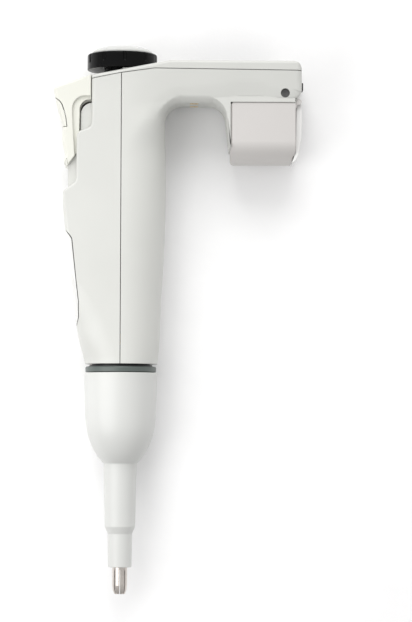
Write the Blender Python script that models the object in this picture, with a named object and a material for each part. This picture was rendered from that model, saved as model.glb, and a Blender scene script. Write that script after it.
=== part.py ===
"""Single-channel electronic pipette with an L-shaped body, lying on its flat side.

Everything is drawn in the pipette's own datum, in millimetres: X = 0 and Z = 0 on the nozzle
axis, Y = 0 at the nozzle's end, +Y towards the operating button, +X towards the end of the arm.
The datum empty scales that to metres' worth of world, rests the flat side on Z = 0 and centres
the footprint on the origin.
"""

import math

import bmesh
import bpy
from mathutils import Vector

MM = 0.001

# Driving dimensions, in millimetres.
HALF_DEPTH = 16.2  # from the nozzle axis to each flat side of the body
FOOTPRINT_CENTRE = (24.83, 120.15)
GAP = 0.3  # between neighbouring pieces
WALL = 2.2
HOUSING_BOTTOM = 100.3
HEAD_BACK = -12.9  # the body's back edge beside the ejector
ARM_END = 78.5
SADDLE_Y = 214.5  # flat underside of the arm, in the finger recess
ARM_UNDERSIDE_Y = 215.9
COVER_TOP_Y = 232.4
COVER_BACK_Y = 225.9
DIAL_FLOOR_Y = 229.3

EJECT_TRAVEL = 9.5
BUTTON_TRAVEL = 1.5
PISTON_TRAVEL = 16.0
PISTON_RADIUS = 4.45
ROD_X = -12.2
ROD_RADIUS = 1.2
SCREW_RADIUS = 1.5
GUIDE_Z = 8.8
GUIDE_RADIUS = 1.0

# Half thicknesses of the three sliding layers at the back: web, guide rails, outer flanges.
WEB_HALF = 10.1
RAIL_INNER = 10.4
RAIL_OUTER = 12.1
FLANGE_INNER = 12.4
SLIDER_HALF = 15.0
RAIL_BACK = -23.1

PACK_LEFT = 47.9
PACK_RIGHT = 75.9
PACK_TOP = 214.1
PACK_BOTTOM = 188.0
PACK_HALF = 13.3
RIM_HALF = 13.8
LATCH_PIVOT = (77.3, 214.7)
SCREW_XY = (71.3, 218.35)

# Handle silhouette: (Y, X) keys joined by smooth curves.
FRONT_KEYS = ((96, 15.3), (101, 16.1), (109, 16.8), (129, 17.6), (152, 18.9), (183, 19.4), (206, 18.9))
BACK_KEYS = (
    (96, -15.2),
    (101, -15.7),
    (110, -18.0),
    (124, -20.3),
    (138, -22.0),
    (158, -24.3),
    (168, -25.1),
    (175, -25.1),
)
# Seam between the housings and the top cover: (X, Y) keys joined by straight lines.
SEAM = ((-13.2, 223.9), (0.0, 226.6), (14.3, 228.6), (78.8, 227.9))

WHITE = ((0.72, 0.72, 0.69), 0.42, 0.0)
CREAM = ((0.82, 0.81, 0.74), 0.38, 0.0)
GREY = ((0.60, 0.58, 0.56), 0.5, 0.0)
BLACK = ((0.012, 0.012, 0.014), 0.45, 0.0)
RING_GREY = ((0.16, 0.19, 0.17), 0.45, 0.0)
STEEL = ((0.62, 0.60, 0.58), 0.22, 1.0)
GOLD = ((0.83, 0.60, 0.28), 0.3, 1.0)
GLASS = ((0.02, 0.025, 0.03), 0.08, 0.0)
BOARD = ((0.03, 0.16, 0.08), 0.5, 0.0)
RUBBER = ((0.05, 0.05, 0.055), 0.7, 0.0)
CELL = ((0.10, 0.18, 0.38), 0.4, 0.0)


def clear_scene():
    for old in list(bpy.data.objects):
        bpy.data.objects.remove(old, do_unlink=True)


def make_datum():
    """Empty at the nozzle's end, on the nozzle axis."""
    datum = bpy.data.objects.new("pipette_datum", None)
    x, y = FOOTPRINT_CENTRE
    datum.location = (-x * MM, -y * MM, HALF_DEPTH * MM)
    bpy.context.scene.collection.objects.link(datum)
    return datum


clear_scene()
DATUM = make_datum()


# ---------------------------------------------------------------- small helpers


def ramp(value, start, end):
    """0 at start, 1 at end, and straight in between."""
    return min(1.0, max(0.0, (value - start) / (end - start)))


def mix(a, b, share):
    return a + (b - a) * share


def ease(t):
    return t * t * (3 - 2 * t)


def spread(start, end, count):
    """count evenly spaced values, both ends included."""
    return [mix(start, end, i / (count - 1)) for i in range(count)]


def along(keys, at):
    """Smooth value at a position through (position, value) keys."""
    last = len(keys) - 1
    i = min(last - 1, sum(1 for key in keys[1:] if key[0] <= at))

    def slope(k):
        a, b = keys[max(0, k - 1)], keys[min(last, k + 1)]
        return (b[1] - a[1]) / (b[0] - a[0])

    (t0, v0), (t1, v1) = keys[i], keys[i + 1]
    span = t1 - t0
    t = (at - t0) / span
    ease = 3 * t * t - 2 * t**3
    bend = (t**3 - 2 * t * t + t) * slope(i) + (t**3 - t * t) * slope(i + 1)
    return mix(v0, v1, ease) + bend * span


def seam_y(x):
    """Height of the cover's seam above the nozzle's end."""
    for (x0, y0), (x1, y1) in zip(SEAM, SEAM[1:]):
        if x <= x1:
            return mix(y0, y1, (x - x0) / (x1 - x0))
    return SEAM[-1][1]


def rounded(corners, step=22.5):
    """Closed outline from (x, y, radius) corners; a radius becomes an arc."""
    outline = []
    for i, (x, y, radius) in enumerate(corners):
        here = Vector((x, y))
        if radius == 0:
            outline.append(here)
            continue
        back = (Vector(corners[i - 1][:2]) - here).normalized()
        ahead = (Vector(corners[(i + 1) % len(corners)][:2]) - here).normalized()
        half = back.angle(ahead) / 2
        centre = here + (back + ahead).normalized() * radius / math.sin(half)
        start = here + back * radius / math.tan(half) - centre
        turn = start.angle_signed(here + ahead * radius / math.tan(half) - centre)
        steps = max(1, round(abs(math.degrees(turn)) / step))
        for k in range(steps + 1):
            angle = -turn * k / steps
            c, s = math.cos(angle), math.sin(angle)
            outline.append(centre + Vector((start.x * c - start.y * s, start.x * s + start.y * c)))
    return outline


def circle(x, y, radius, count=24):
    turns = [2 * math.pi * i / count for i in range(count)]
    return [Vector((x + radius * math.cos(a), y + radius * math.sin(a))) for a in turns]


def box_outline(x0, y0, x1, y1, radius=0.0):
    return rounded([(x0, y0, radius), (x1, y0, radius), (x1, y1, radius), (x0, y1, radius)])


# ---------------------------------------------------------------- building solids


def add_object(name, bm):
    """Closes a bmesh drawn in millimetres into an object on the datum."""
    bmesh.ops.remove_doubles(bm, verts=bm.verts, dist=0.0005)
    bmesh.ops.recalc_face_normals(bm, faces=bm.faces)
    if bm.calc_volume(signed=True) < 0:
        bmesh.ops.reverse_faces(bm, faces=bm.faces)
    bmesh.ops.scale(bm, vec=(MM, MM, MM), verts=bm.verts)
    mesh = bpy.data.meshes.new(name)
    bm.to_mesh(mesh)
    bm.free()
    mesh.shade_smooth()
    mesh.set_sharp_from_angle(angle=math.radians(35))
    obj = bpy.data.objects.new(name, mesh)
    bpy.context.scene.collection.objects.link(obj)
    obj.parent = DATUM
    return obj


def bridge(bm, rings):
    """Skins rings of equal length and caps both ends."""
    count = len(rings[0])
    for low, high in zip(rings, rings[1:]):
        for i in range(count):
            j = (i + 1) % count
            bm.faces.new((low[i], low[j], high[j], high[i]))
    bm.faces.new(rings[0][::-1])
    bm.faces.new(rings[-1])


def prism(name, outline, z0, z1):
    """Outline in XY, drawn out along Z."""
    bm = bmesh.new()
    bridge(bm, [[bm.verts.new((p.x, p.y, z)) for p in outline] for z in (z0, z1)])
    return add_object(name, bm)


def slab(name, outline, y0, y1):
    """Outline in XZ, drawn out along Y."""
    bm = bmesh.new()
    bridge(bm, [[bm.verts.new((p.x, y, p.y)) for p in outline] for y in (y1, y0)])
    return add_object(name, bm)


def crossbar(name, outline, x0, x1):
    """Outline in YZ, drawn out along X."""
    bm = bmesh.new()
    bridge(bm, [[bm.verts.new((x, p.x, p.y)) for p in outline] for x in (x0, x1)])
    return add_object(name, bm)


def pillow(name, outline, half, inset, levels=6):
    """Outline drawn out to +-half along Z, drawn in by inset(point, inward, z) near the sides."""
    count = len(outline)
    inward = []
    for i in range(count):
        run = (outline[(i + 1) % count] - outline[i - 1]).normalized()
        inward.append(Vector((-run.y, run.x)))
    heights = [half * math.sin(math.pi / 2 * k / levels) for k in range(-levels, levels + 1)]
    bm = bmesh.new()
    rings = []
    for z in heights:
        moved = [inset(p, n, abs(z)) for p, n in zip(outline, inward)]
        rings.append([bm.verts.new((p.x, p.y, z)) for p in moved])
    bridge(bm, rings)
    return add_object(name, bm)


def drawn_in(z, half, reach, depth):
    """How far an edge with an elliptical rounding stands back at height z."""
    share = ramp(z, half - depth, half)
    return reach * (1 - math.sqrt(1 - share * share))


def turned(name, profile, x=0.0, z=0.0, segments=24):
    """Closed (radius, y) profile, spun about the line through (x, z) along Y."""
    bm = bmesh.new()
    verts = [bm.verts.new((r, y, 0)) for r, y in profile]
    edges = [bm.edges.new((a, b)) for a, b in zip(verts, verts[1:] + verts[:1])]
    bmesh.ops.spin(
        bm,
        geom=verts + edges,
        cent=(0, 0, 0),
        axis=(0, 1, 0),
        angle=2 * math.pi,
        steps=segments,
        use_merge=True,
    )
    bmesh.ops.remove_doubles(bm, verts=bm.verts, dist=0.0005)
    stray = [e for e in bm.edges if not e.link_faces]
    bmesh.ops.delete(bm, geom=stray, context="EDGES")
    bmesh.ops.translate(bm, vec=(x, 0, z), verts=bm.verts)
    return add_object(name, bm)


def rod(name, radius, y0, y1, x=0.0, z=0.0, segments=16, bore=0.0):
    """Straight round bar, or tube, along Y."""
    return turned(name, [(bore, y0), (radius, y0), (radius, y1), (bore, y1)], x, z, segments)


def coil(name, radius, wire, y0, y1, turns, x=0.0, z=0.0, per_turn=10):
    """Helical compression spring along Y."""
    data = bpy.data.curves.new(name, "CURVE")
    data.dimensions = "3D"
    data.bevel_depth = wire / 2 * MM
    data.bevel_resolution = 0
    data.use_fill_caps = True
    spline = data.splines.new("POLY")
    total = turns * per_turn
    spline.points.add(total)
    low, high = y0 + wire / 2, y1 - wire / 2
    for i in range(total + 1):
        angle = 2 * math.pi * i / per_turn
        point = (x + radius * math.cos(angle), mix(low, high, i / total), z + radius * math.sin(angle))
        spline.points[i].co = (point[0] * MM, point[1] * MM, point[2] * MM, 1)
    obj = bpy.data.objects.new(name, data)
    bpy.context.scene.collection.objects.link(obj)
    obj.parent = DATUM
    return obj


def boolean(target, tool, operation):
    """Adds a Boolean modifier and hides its tool."""
    modifier = target.modifiers.new(f"{operation.lower()} {tool.name}", "BOOLEAN")
    modifier.operation = operation
    modifier.solver = "EXACT"
    modifier.object = tool
    tool.hide_render = True
    tool.display_type = "WIRE"


def cut(target, *tools):
    for tool in tools:
        boolean(target, tool, "DIFFERENCE")


def join(target, *tools):
    for tool in tools:
        boolean(target, tool, "UNION")


def keep_inside(target, tool):
    boolean(target, tool, "INTERSECT")


def paint(obj, look):
    """Gives the object its own Principled material."""
    colour, roughness, metallic = look
    made = bpy.data.materials.new(f"{obj.name}_material")
    made.use_nodes = True
    shader = made.node_tree.nodes["Principled BSDF"]
    shader.inputs["Base Color"].default_value = (*colour, 1)
    shader.inputs["Roughness"].default_value = roughness
    shader.inputs["Metallic"].default_value = metallic
    obj.data.materials.append(made)
    return obj


# ---------------------------------------------------------------- body form shared by both housings


def body_outline():
    """Side view of both housings, drawn past their cut ends."""
    front = [(along(FRONT_KEYS, y), y, 0) for y in spread(96, 203, 12)]
    back = [(along(BACK_KEYS, y), y, 0) for y in spread(171, 96, 10)]
    corners = [
        *front,
        (18.9, SADDLE_Y, 8),
        (39, SADDLE_Y, 8),
        (50, ARM_UNDERSIDE_Y, 8),
        (ARM_END, ARM_UNDERSIDE_Y, 4),
        (ARM_END, 236, 0),
        (HEAD_BACK, 236, 0),
        (HEAD_BACK, 203.2, 2.5),
        (-19.4, 200.8, 3),
        (-19.4, 179.2, 3),
        (-25.1, 175.2, 1.5),
        *back,
    ]
    return rounded(corners)


def body_rounding(x, y):
    """(reach in the side view, depth along Z) of the rounding of the body's edge."""
    if x < 0:
        if y > 203:
            head = ramp(y, 207, 212)
            return mix(1.0, 1.6, head), mix(1.0, 1.8, head)
        grip = ramp(y, 174.5, 164)
        neck = ramp(y, 132, 101)
        return mix(mix(1.0, 1.8, grip), 15.2, neck), mix(mix(1.0, 4.0, grip), 15.8, neck)
    if x < 26 and y < SADDLE_Y - 0.01:
        recess = ease(ramp(y, 192, SADDLE_Y))
        reach = mix(mix(15.2, 18.4, ramp(y, 100, 135)), 7.0, recess)
        return reach, mix(15.8, 8.5, recess)
    if y < 219:
        arm = ease(ramp(x, 26, 50))
        end = ease(ramp(x, 61, 71))
        return mix(mix(7.0, 11.0, arm), 3.8, end), mix(mix(8.5, 6.5, arm), 3.4, end)
    return 2.5, 2.5


def level_inward(point, inward):
    """Inward direction; level beyond the cut ends, so that the rounding runs straight out there."""
    if 115 < point.y < 235:
        return inward
    return Vector((-math.copysign(1, point.x), 0))


def body_inset(point, inward, z):
    reach, depth = body_rounding(point.x, point.y)
    reach = min(reach, abs(point.x) - 0.6)
    return point + level_inward(point, inward) * drawn_in(z, HALF_DEPTH, reach, depth)


def cavity_outline():
    """Side view of the space inside the housings."""
    front = [(along(FRONT_KEYS, y) - WALL, y, 0) for y in spread(113.5, 203, 8)]
    corners = [
        (-15.0, 113.5, 0),
        *front,
        (16.7, SADDLE_Y + WALL, 8),
        (40, SADDLE_Y + WALL, 6),
        (50, 218.3, 6),
        (ARM_END - WALL, 218.3, 3),
        (ARM_END - WALL, 236, 0),
        (-11.0, 236, 0),
        (-11.0, 203.4, 1),
        (-15.6, 200.4, 1),
        (-15.6, 176, 0),
        (-16.4, 160, 0),
        (-16.0, 120, 0),
    ]
    return rounded(corners, step=30)


def cavity_inset(point, inward, z):
    if point.x < 0 and point.y > 174:
        reach, depth = 0.9, 2.0
    elif point.x < 0:
        reach, depth = 3.0, 6.0
    elif point.x < 25 and point.y < SADDLE_Y:
        recess = ramp(point.y, 203, SADDLE_Y)
        reach, depth = mix(15.0, 4.0, recess), mix(13.6, 6.0, recess)
    else:
        reach, depth = 2.5, 2.5
    return point + level_inward(point, inward) * drawn_in(z, HALF_DEPTH - WALL, reach, depth)


def make_cavity(name):
    return pillow(name, cavity_outline(), HALF_DEPTH - WALL, cavity_inset, levels=4)


def lower_bore(name):
    """Round mouth at the bottom of the housings, for the coupling collar."""
    return rod(name, 13.1, 90, 115, segments=48)


# ---------------------------------------------------------------- rear housing


def rear_region():
    """Everything behind the seam that lies in the plane of the nozzle axis."""
    points = [(-40, HOUSING_BOTTOM), (-GAP / 2, HOUSING_BOTTOM), (-GAP / 2, seam_y(0)), (-40, seam_y(-40))]
    return prism("rear_region", [Vector(p) for p in points], -30, 30)


def rail(name, side):
    """Guide rail that stands out of the back, between the ejector's web and its flange."""
    corners = [
        (-17.5, 176.0, 0),
        (-17.5, 200.6, 0),
        (-12.0, 203.2, 0),
        (-12.0, 213.9, 0),
        (-17.6, 213.9, 5),
        (-17.6, 200.0, 0),
        (RAIL_BACK, 198.0, 0),
        (RAIL_BACK, 176.0, 0),
    ]
    low, high = sorted((side * (RAIL_INNER - 0.2), side * RAIL_OUTER))
    return prism(name, rounded(corners), low, high)


def ejector_channel():
    """Groove that the ejector's web slides in."""
    corners = [
        (-17.3, 178.4, 0),
        (-17.3, 202.6, 0),
        (-12.75, 202.6, 0),
        (-12.75, 240.0, 0),
        (-40.0, 240.0, 0),
        (-40.0, 178.4, 0),
    ]
    return prism("ejector_channel", rounded(corners), -RAIL_INNER, RAIL_INNER)


def inlay_outline(grow):
    """Side view of the grip inlay, grown by a margin for its recess."""
    edge = [
        (-25.0, 159.3 + grow, 0),
        (-21.2 + grow, 154.6 + grow, 3),
        (-19.3 + grow, 137.0, 0),
        (-18.2 + grow, 127.0, 0),
        (-18.2 + grow, 120.2, 0),
        (-19.6, 114.6 - grow, 0),
        (-30.0, 114.6 - grow, 0),
        (-30.0, 159.3 + grow, 0),
    ]
    return rounded(edge[::-1])


def rear_housing():
    shell = pillow("rear_housing", body_outline(), HALF_DEPTH, body_inset)
    keep_inside(shell, rear_region())
    cut(shell, make_cavity("rear_cavity"), lower_bore("rear_bore"), ejector_channel())
    join(shell, rail("rail_left", -1), rail("rail_right", 1))
    cut(shell, prism("tongue_slot", box_outline(-20, 179.2, -14, 196.6), -2.9, 2.9))
    cut(shell, prism("rod_groove", box_outline(-14.0, 95, -9.0, 115), -1.7, 1.7))
    cut(shell, prism("inlay_recess", inlay_outline(GAP / 2), -30, 30))
    join(shell, prism("spring_seat", box_outline(-17.0, 163.6, -10.0, 165.6), -4, 4))
    cut(shell, rod("spring_seat_hole", ROD_RADIUS + GAP, 160, 168, x=ROD_X))
    return paint(shell, WHITE)


def rear_grip_inlay():
    inlay = pillow("rear_grip_inlay", body_outline(), HALF_DEPTH, body_inset)
    keep_inside(inlay, prism("inlay_region", inlay_outline(-GAP / 2), -30, 30))
    return paint(inlay, WHITE)


# ---------------------------------------------------------------- front housing with the arm


def front_region():
    """Everything in front of the seam, below the top cover."""
    points = [
        (GAP / 2, HOUSING_BOTTOM),
        (120, HOUSING_BOTTOM),
        (120, seam_y(78.8)),
        (78.8, seam_y(78.8)),
        (14.3, seam_y(14.3)),
        (GAP / 2, seam_y(0)),
    ]
    return prism("front_region", [Vector(p) for p in points], -30, 30)


def pack_rim():
    """Thin rim round the top and the inner side of the battery pack, with the fin beside the recess."""
    corners = [
        (36, 217.0, 0),
        (36, SADDLE_Y, 0),
        (44.6, SADDLE_Y, 7.5),
        (46.5, 199.5, 12),
        (47.1, 194.3, 0),
        (PACK_LEFT - GAP, 194.3, 0),
        (PACK_LEFT - GAP, PACK_TOP + GAP, 0),
        (75.7, PACK_TOP + GAP, 0),
        (75.7, 217.0, 0),
    ]
    return prism("pack_rim", rounded(corners, step=15), -RIM_HALF, RIM_HALF)


def screw_boss(name, side):
    """Solid lug inside the arm that takes a case screw, flat where it nears the arm's rounded edge."""
    low, high = sorted((side * 8.0, side * (HALF_DEPTH - WALL + 0.4)))
    return prism(name, [p for p in circle(*SCREW_XY, 3.3) if p.y > ARM_UNDERSIDE_Y + 0.8], low, high)


def screw_bore(name, side):
    """Counterbore and pilot hole for a case screw."""
    head = prism(f"{name}_head", circle(*SCREW_XY, 2.1), *sorted((side * 12.4, side * 20)))
    pilot = prism(f"{name}_pilot", circle(*SCREW_XY, 1.25, 12), *sorted((side * 6, side * 13)))
    join(head, pilot)
    return head


def front_housing():
    shell = pillow("front_housing", body_outline(), HALF_DEPTH, body_inset)
    join(shell, pack_rim())
    keep_inside(shell, front_region())
    cut(shell, make_cavity("front_cavity"), lower_bore("front_bore"))
    join(shell, screw_boss("boss_left", -1), screw_boss("boss_right", 1))
    cut(shell, screw_bore("bore_left", -1), screw_bore("bore_right", 1))
    cut(shell, crossbar("port_hole", box_outline(220.6, -4.8, 224.4, 4.8, 1.2), 75, 80))
    for name, z in (("contact_hole_1", -5.5), ("contact_hole_2", 5.5)):
        cut(shell, slab(name, box_outline(29.7, z - 0.8, 33.7, z + 0.8), 213, 219))
    for name, z in (("terminal_hole_1", -5.0), ("terminal_hole_2", 5.0)):
        cut(shell, rod(name, 1.1, 213, 220, x=60, z=z))
    return paint(shell, WHITE)


# ---------------------------------------------------------------- top cover and display


def cover_inset(point, inward, z):
    """Edges of the top cover, each drawn in along its own axis."""
    side = drawn_in(z, HALF_DEPTH, 1.6, 1.8)
    end = drawn_in(z, HALF_DEPTH, 2.0, 2.5)
    brow = drawn_in(z, HALF_DEPTH, 1.1, 1.2)
    x = min(max(point.x, HEAD_BACK + side), ARM_END - end)
    top = along_top(point.x)
    y = min(point.y, top - brow) if point.y > seam_y(point.x) + 1.0 else seam_y(x) + GAP
    return Vector((x, y))


def along_top(x):
    """Upper face of the cover: one slope under the selector ring, then flat along the arm."""
    return mix(COVER_BACK_Y, COVER_TOP_Y, ramp(x, HEAD_BACK, 21.2))


def cover_outline():
    seam = [(x, seam_y(x) + GAP, 0) for x in (HEAD_BACK, 0.0, 14.3, ARM_END)]
    top = [
        (ARM_END, COVER_TOP_Y, 3.9),
        (21.2, COVER_TOP_Y, 0),
        (HEAD_BACK, COVER_BACK_Y, 0),
    ]
    return rounded(seam + top, step=15)


def cover_hollow():
    """Space under the cover; thin over the head, deep over the arm."""
    corners = [
        (-10.9, 220, 0),
        (76.2, 220, 0),
        (76.2, 230.7, 2),
        (18.6, 230.7, 0),
        (16.4, 227.6, 0),
        (5.0, 227.6, 0),
        (-10.9, 225.1, 0),
    ]
    return prism("cover_hollow", rounded(corners), -13.9, 13.9)


def top_cover():
    shell = pillow("top_cover", cover_outline(), HALF_DEPTH, cover_inset)
    floor = slab("dial_floor", box_outline(0.5, -13.6, 17.0, 13.6), 227.6, 229.6)
    join(shell, floor)
    cut(shell, cover_hollow())
    cut(shell, rod("dial_pocket", 15.6, DIAL_FLOOR_Y, 240, segments=48))
    cut(shell, rod("hub_hole", 8.4, 220, 235, segments=32))
    cut(shell, slab("window_step", box_outline(26.5, -12.0, 69.5, 12.0, 1.5), 231.2, 240))
    cut(shell, slab("window_hole", box_outline(29.0, -10.4, 67.0, 10.4, 1.0), 225, 240))
    return paint(shell, WHITE)


def display_window():
    outline = box_outline(26.8, -11.7, 69.2, 11.7, 1.2)
    return paint(slab("display_window", outline, 231.4, COVER_TOP_Y - 0.1), GLASS)


def display_module():
    module = slab("display_module", box_outline(30.0, -10.2, 66.0, 10.2), 227.2, 230.4)
    return paint(module, BLACK)


def main_board():
    """Circuit board along the arm, narrowed between the screw bosses."""
    corners = [(-9.5, -8.0), (-4.0, -11.5), (66.5, -11.5), (66.5, -7.4), (75.5, -7.4)]
    mirrored = [(x, -z) for x, z in reversed(corners)]
    outline = [Vector(p) for p in corners + mirrored]
    return paint(slab("main_board", outline, 219.9, 221.0), BOARD)


# ---------------------------------------------------------------- operating button and selector ring


def selector_ring():
    """Knurled ring with a hub that passes down through the cover."""
    profile = [
        (5.0, 224.2),
        (8.0, 224.2),
        (8.0, 229.6),
        (15.3, 229.6),
        (15.3, 236.0),
        (14.9, 236.5),
        (14.0, 236.5),
        (14.0, 230.4),
        (5.0, 230.4),
    ]
    ring = turned("selector_ring", profile, segments=60)
    bm = bmesh.new()
    for i in range(10):
        angle = math.radians(36 * i + 84.5)
        cx, cz = 15.75 * math.cos(angle), 15.75 * math.sin(angle)
        low = [bm.verts.new((cx + 0.95 * math.cos(a), 232.0, cz + 0.95 * math.sin(a))) for a in turn(8)]
        high = [bm.verts.new((v.co.x, 238.0, v.co.z)) for v in low]
        bridge(bm, [high, low])
    cut(ring, add_object("ring_notches", bm))
    return paint(ring, BLACK)


def turn(count):
    """count angles round a full turn."""
    return [2 * math.pi * i / count for i in range(count)]


def encoder_ring():
    return paint(rod("encoder_ring", 10.4, 222.6, 224.8, segments=32, bore=8.2), GREY)


def operating_button():
    """Crowned cap with a skirt that runs down inside the selector ring."""
    profile = [
        (0.0, 236.6),
        (11.9, 236.6),
        (11.9, 232.4),
        (13.4, 232.4),
        (13.4, 237.4),
        (13.0, 238.6),
        (12.0, 239.3),
        (9.0, 239.9),
        (4.5, 240.25),
        (0.0, 240.3),
    ]
    return paint(turned("operating_button", profile, segments=40), WHITE)


def button_plunger():
    return paint(rod("button_plunger", 3.4, 226.4, 236.3), GREY)


def button_spring():
    return paint(coil("button_spring", 6.2, 0.6, 230.7, 236.3, 3, per_turn=14), STEEL)


def button_switch():
    switch = slab("button_switch", box_outline(-3.2, -3.2, 3.2, 3.2), 221.3, 223.4)
    join(switch, rod("switch_pin", 1.6, 223.0, 224.6))
    return paint(switch, BLACK)


# ---------------------------------------------------------------- drive: motor, screw, carriage, piston


def motor():
    profile = [(1.9, 150.3), (9.3, 150.3), (9.3, 176.0), (8.6, 177.0), (8.6, 180.0), (0.0, 180.0), (0.0, 160.0), (1.9, 160.0)]
    return paint(turned("motor", profile, segments=32), STEEL)


def motor_bracket():
    plate = rod("motor_bracket", 11.9, 147.0, 150.0, segments=32, bore=2.2)
    cut(plate, prism("bracket_flat", box_outline(-20, 140, -9.4, 155), -20, 20))
    return paint(plate, STEEL)


def lead_screw():
    """Screw with trapezoid-like ribs that stand for its thread."""
    profile = [(0.0, 104.5)]
    y = 104.5
    while y < 146.0:
        profile += [(SCREW_RADIUS - 0.25, y), (SCREW_RADIUS, y + 0.6), (SCREW_RADIUS, y + 1.6), (SCREW_RADIUS - 0.25, y + 2.2)]
        y += 4.0
    profile += [(SCREW_RADIUS, 147.0), (SCREW_RADIUS, 159.7), (0.0, 159.7)]
    return paint(turned("lead_screw", profile, segments=12), STEEL)


def guide_rods():
    for name, z in (("guide_rod_1", -GUIDE_Z), ("guide_rod_2", GUIDE_Z)):
        paint(rod(name, GUIDE_RADIUS, 106.3, 146.7, z=z, segments=12), STEEL)


def piston_carriage():
    """Nut that the lead screw drives; the guide rods stop it from turning."""
    block = slab("piston_carriage", box_outline(-4.5, -10.9, 4.5, 10.9, 2.0), 108.3, 113.3)
    cut(block, rod("nut_hole", SCREW_RADIUS + 0.2, 105, 116))
    cut(block, rod("guide_hole_1", GUIDE_RADIUS + 0.25, 105, 116, z=-GUIDE_Z))
    cut(block, rod("guide_hole_2", GUIDE_RADIUS + 0.25, 105, 116, z=GUIDE_Z))
    return paint(block, GOLD)


def piston():
    profile = [
        (0.0, 64.0),
        (PISTON_RADIUS - 0.4, 64.0),
        (PISTON_RADIUS, 64.5),
        (PISTON_RADIUS, 108.0),
        (1.9, 108.0),
        (1.9, 88.0),
        (0.0, 88.0),
    ]
    return paint(turned("piston", profile), STEEL)


# ---------------------------------------------------------------- lower end


def coupling_collar():
    """Dark union between the housings and the cylinder, grooved for the ejector rod."""
    profile = [
        (9.6, 87.5),
        (13.8, 87.5),
        (13.8, 99.9),
        (12.8, 99.9),
        (12.8, 108.5),
        (11.8, 108.5),
        (11.8, 99.0),
        (9.6, 99.0),
    ]
    collar = turned("coupling_collar", profile, segments=40)
    cut(collar, prism("collar_groove", box_outline(-20, 80, -10.5, 112), -1.6, 1.6))
    return paint(collar, BLACK)


def cylinder():
    """Piston chamber, air channel and socket for the nozzle, in one moulding."""
    profile = [
        (2.55, 29.9),
        (4.6, 29.9),
        (4.6, 58.5),
        (8.9, 63.5),
        (9.3, 66.0),
        (9.3, 99.3),
        (10.7, 99.3),
        (10.7, 101.4),
        (4.7, 101.4),
        (4.7, 62.5),
        (1.0, 60.0),
        (1.0, 46.0),
        (2.55, 46.0),
    ]
    return paint(turned("cylinder", profile, segments=28), GREY)


def piston_seal():
    ring = [(6.1 + 1.45 * math.cos(a), 102.5 + 0.7 * math.sin(a)) for a in turn(10)]
    return paint(turned("piston_seal", ring), RUBBER)


def seal_retainer():
    return paint(rod("seal_retainer", 10.7, 103.5, 106.0, segments=32, bore=4.9), GREY)


def nozzle():
    """Steel nozzle: bored tube with a tapered end, slit lengthwise so that it grips the tip."""
    profile = [
        (1.3, 0.0),
        (2.3, 0.0),
        (3.0, 1.6),
        (3.25, 3.9),
        (3.25, 29.6),
        (2.4, 29.6),
        (2.4, 45.7),
        (0.8, 45.7),
        (0.8, 6.0),
        (1.3, 5.0),
    ]
    tube = turned("nozzle", profile, segments=24)
    for i in range(4):
        slit = slab(f"nozzle_slit_{i}", box_outline(-6, -0.2, 6, 0.2), -1.0, 10.5)
        slit.rotation_euler.y = math.radians(45 * i)
        cut(tube, slit)
    return paint(tube, STEEL)


# ---------------------------------------------------------------- tip ejector


def slider_outline():
    """Side view of the thumb lever and its outer flanges."""
    corners = [
        (-20.1, 190.6, 0),
        (-20.6, 198.0, 0),
        (-21.2, 208.0, 0),
        (-21.2, 216.6, 5.5),
        (-13.2, 216.6, 0),
        (-13.2, 226.0, 0),
        (-20.2, 224.3, 20),
        (-30.2, 220.7, 2),
        (-28.2, 212.0, 20),
        (-25.6, 203.6, 6),
        (-25.9, 197.5, 12),
        (-24.5, 191.0, 2),
        (-25.2, 189.4, 1),
        (-25.0, 187.4, 0.6),
        (-23.1, 186.5, 0.4),
    ]
    return rounded(corners)[::-1]


def slider_inset(point, inward, z):
    """Rounds the thumb side; the other edges only lose their sharpness."""
    outer = point.x < -24 or (point.y > 219 and point.x < -15)
    reach, depth = (1.6, 5.0) if outer else (0.5, 0.7)
    return point - inward * -drawn_in(z, SLIDER_HALF, reach, depth)


def slider_form(name):
    return pillow(name, slider_outline()[::-1], SLIDER_HALF, slider_inset)


def thumb_outline(grow):
    """Side view of the thumb pad, grown by a margin for its recess."""
    corners = [
        (-33.0, 218.0 + grow, 0),
        (-33.0, 203.2 - grow, 0),
        (-23.6 + grow, 203.2 - grow, 0),
        (-24.2 + grow, 208.0, 8),
        (-26.0 + grow, 213.6 + grow, 6),
        (-29.4, 216.4 + grow, 0),
        (-31.0, 218.0 + grow, 0),
    ]
    return rounded(corners)


def rail_slot(name, side):
    """Slot between the web and a flange, which a guide rail runs in."""
    lift = EJECT_TRAVEL + 0.4
    corners = [
        (-13.0, 180.0, 0),
        (-13.0, 213.9 + lift, 0),
        (-17.9, 213.9 + lift, 4.6),
        (-17.9, 200.0 + lift, 0),
        (RAIL_BACK - GAP, 198.5 + lift, 0),
        (RAIL_BACK - GAP, 180.0, 0),
    ]
    low, high = sorted((side * WEB_HALF, side * FLANGE_INNER))
    return prism(name, rounded(corners), low, high)


def ejector_web():
    """Inner web of the ejector, which slides in the channel and carries the rod."""
    corners = [
        (-24.0, 190.0, 0),
        (-17.8, 190.0, 0),
        (-17.8, 214.7, 4.3),
        (-13.2, 214.7, 0),
        (-13.2, 220.0, 0),
        (-24.0, 220.0, 0),
    ]
    return prism("ejector_web", rounded(corners), -WEB_HALF - 0.1, WEB_HALF + 0.1)


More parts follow.
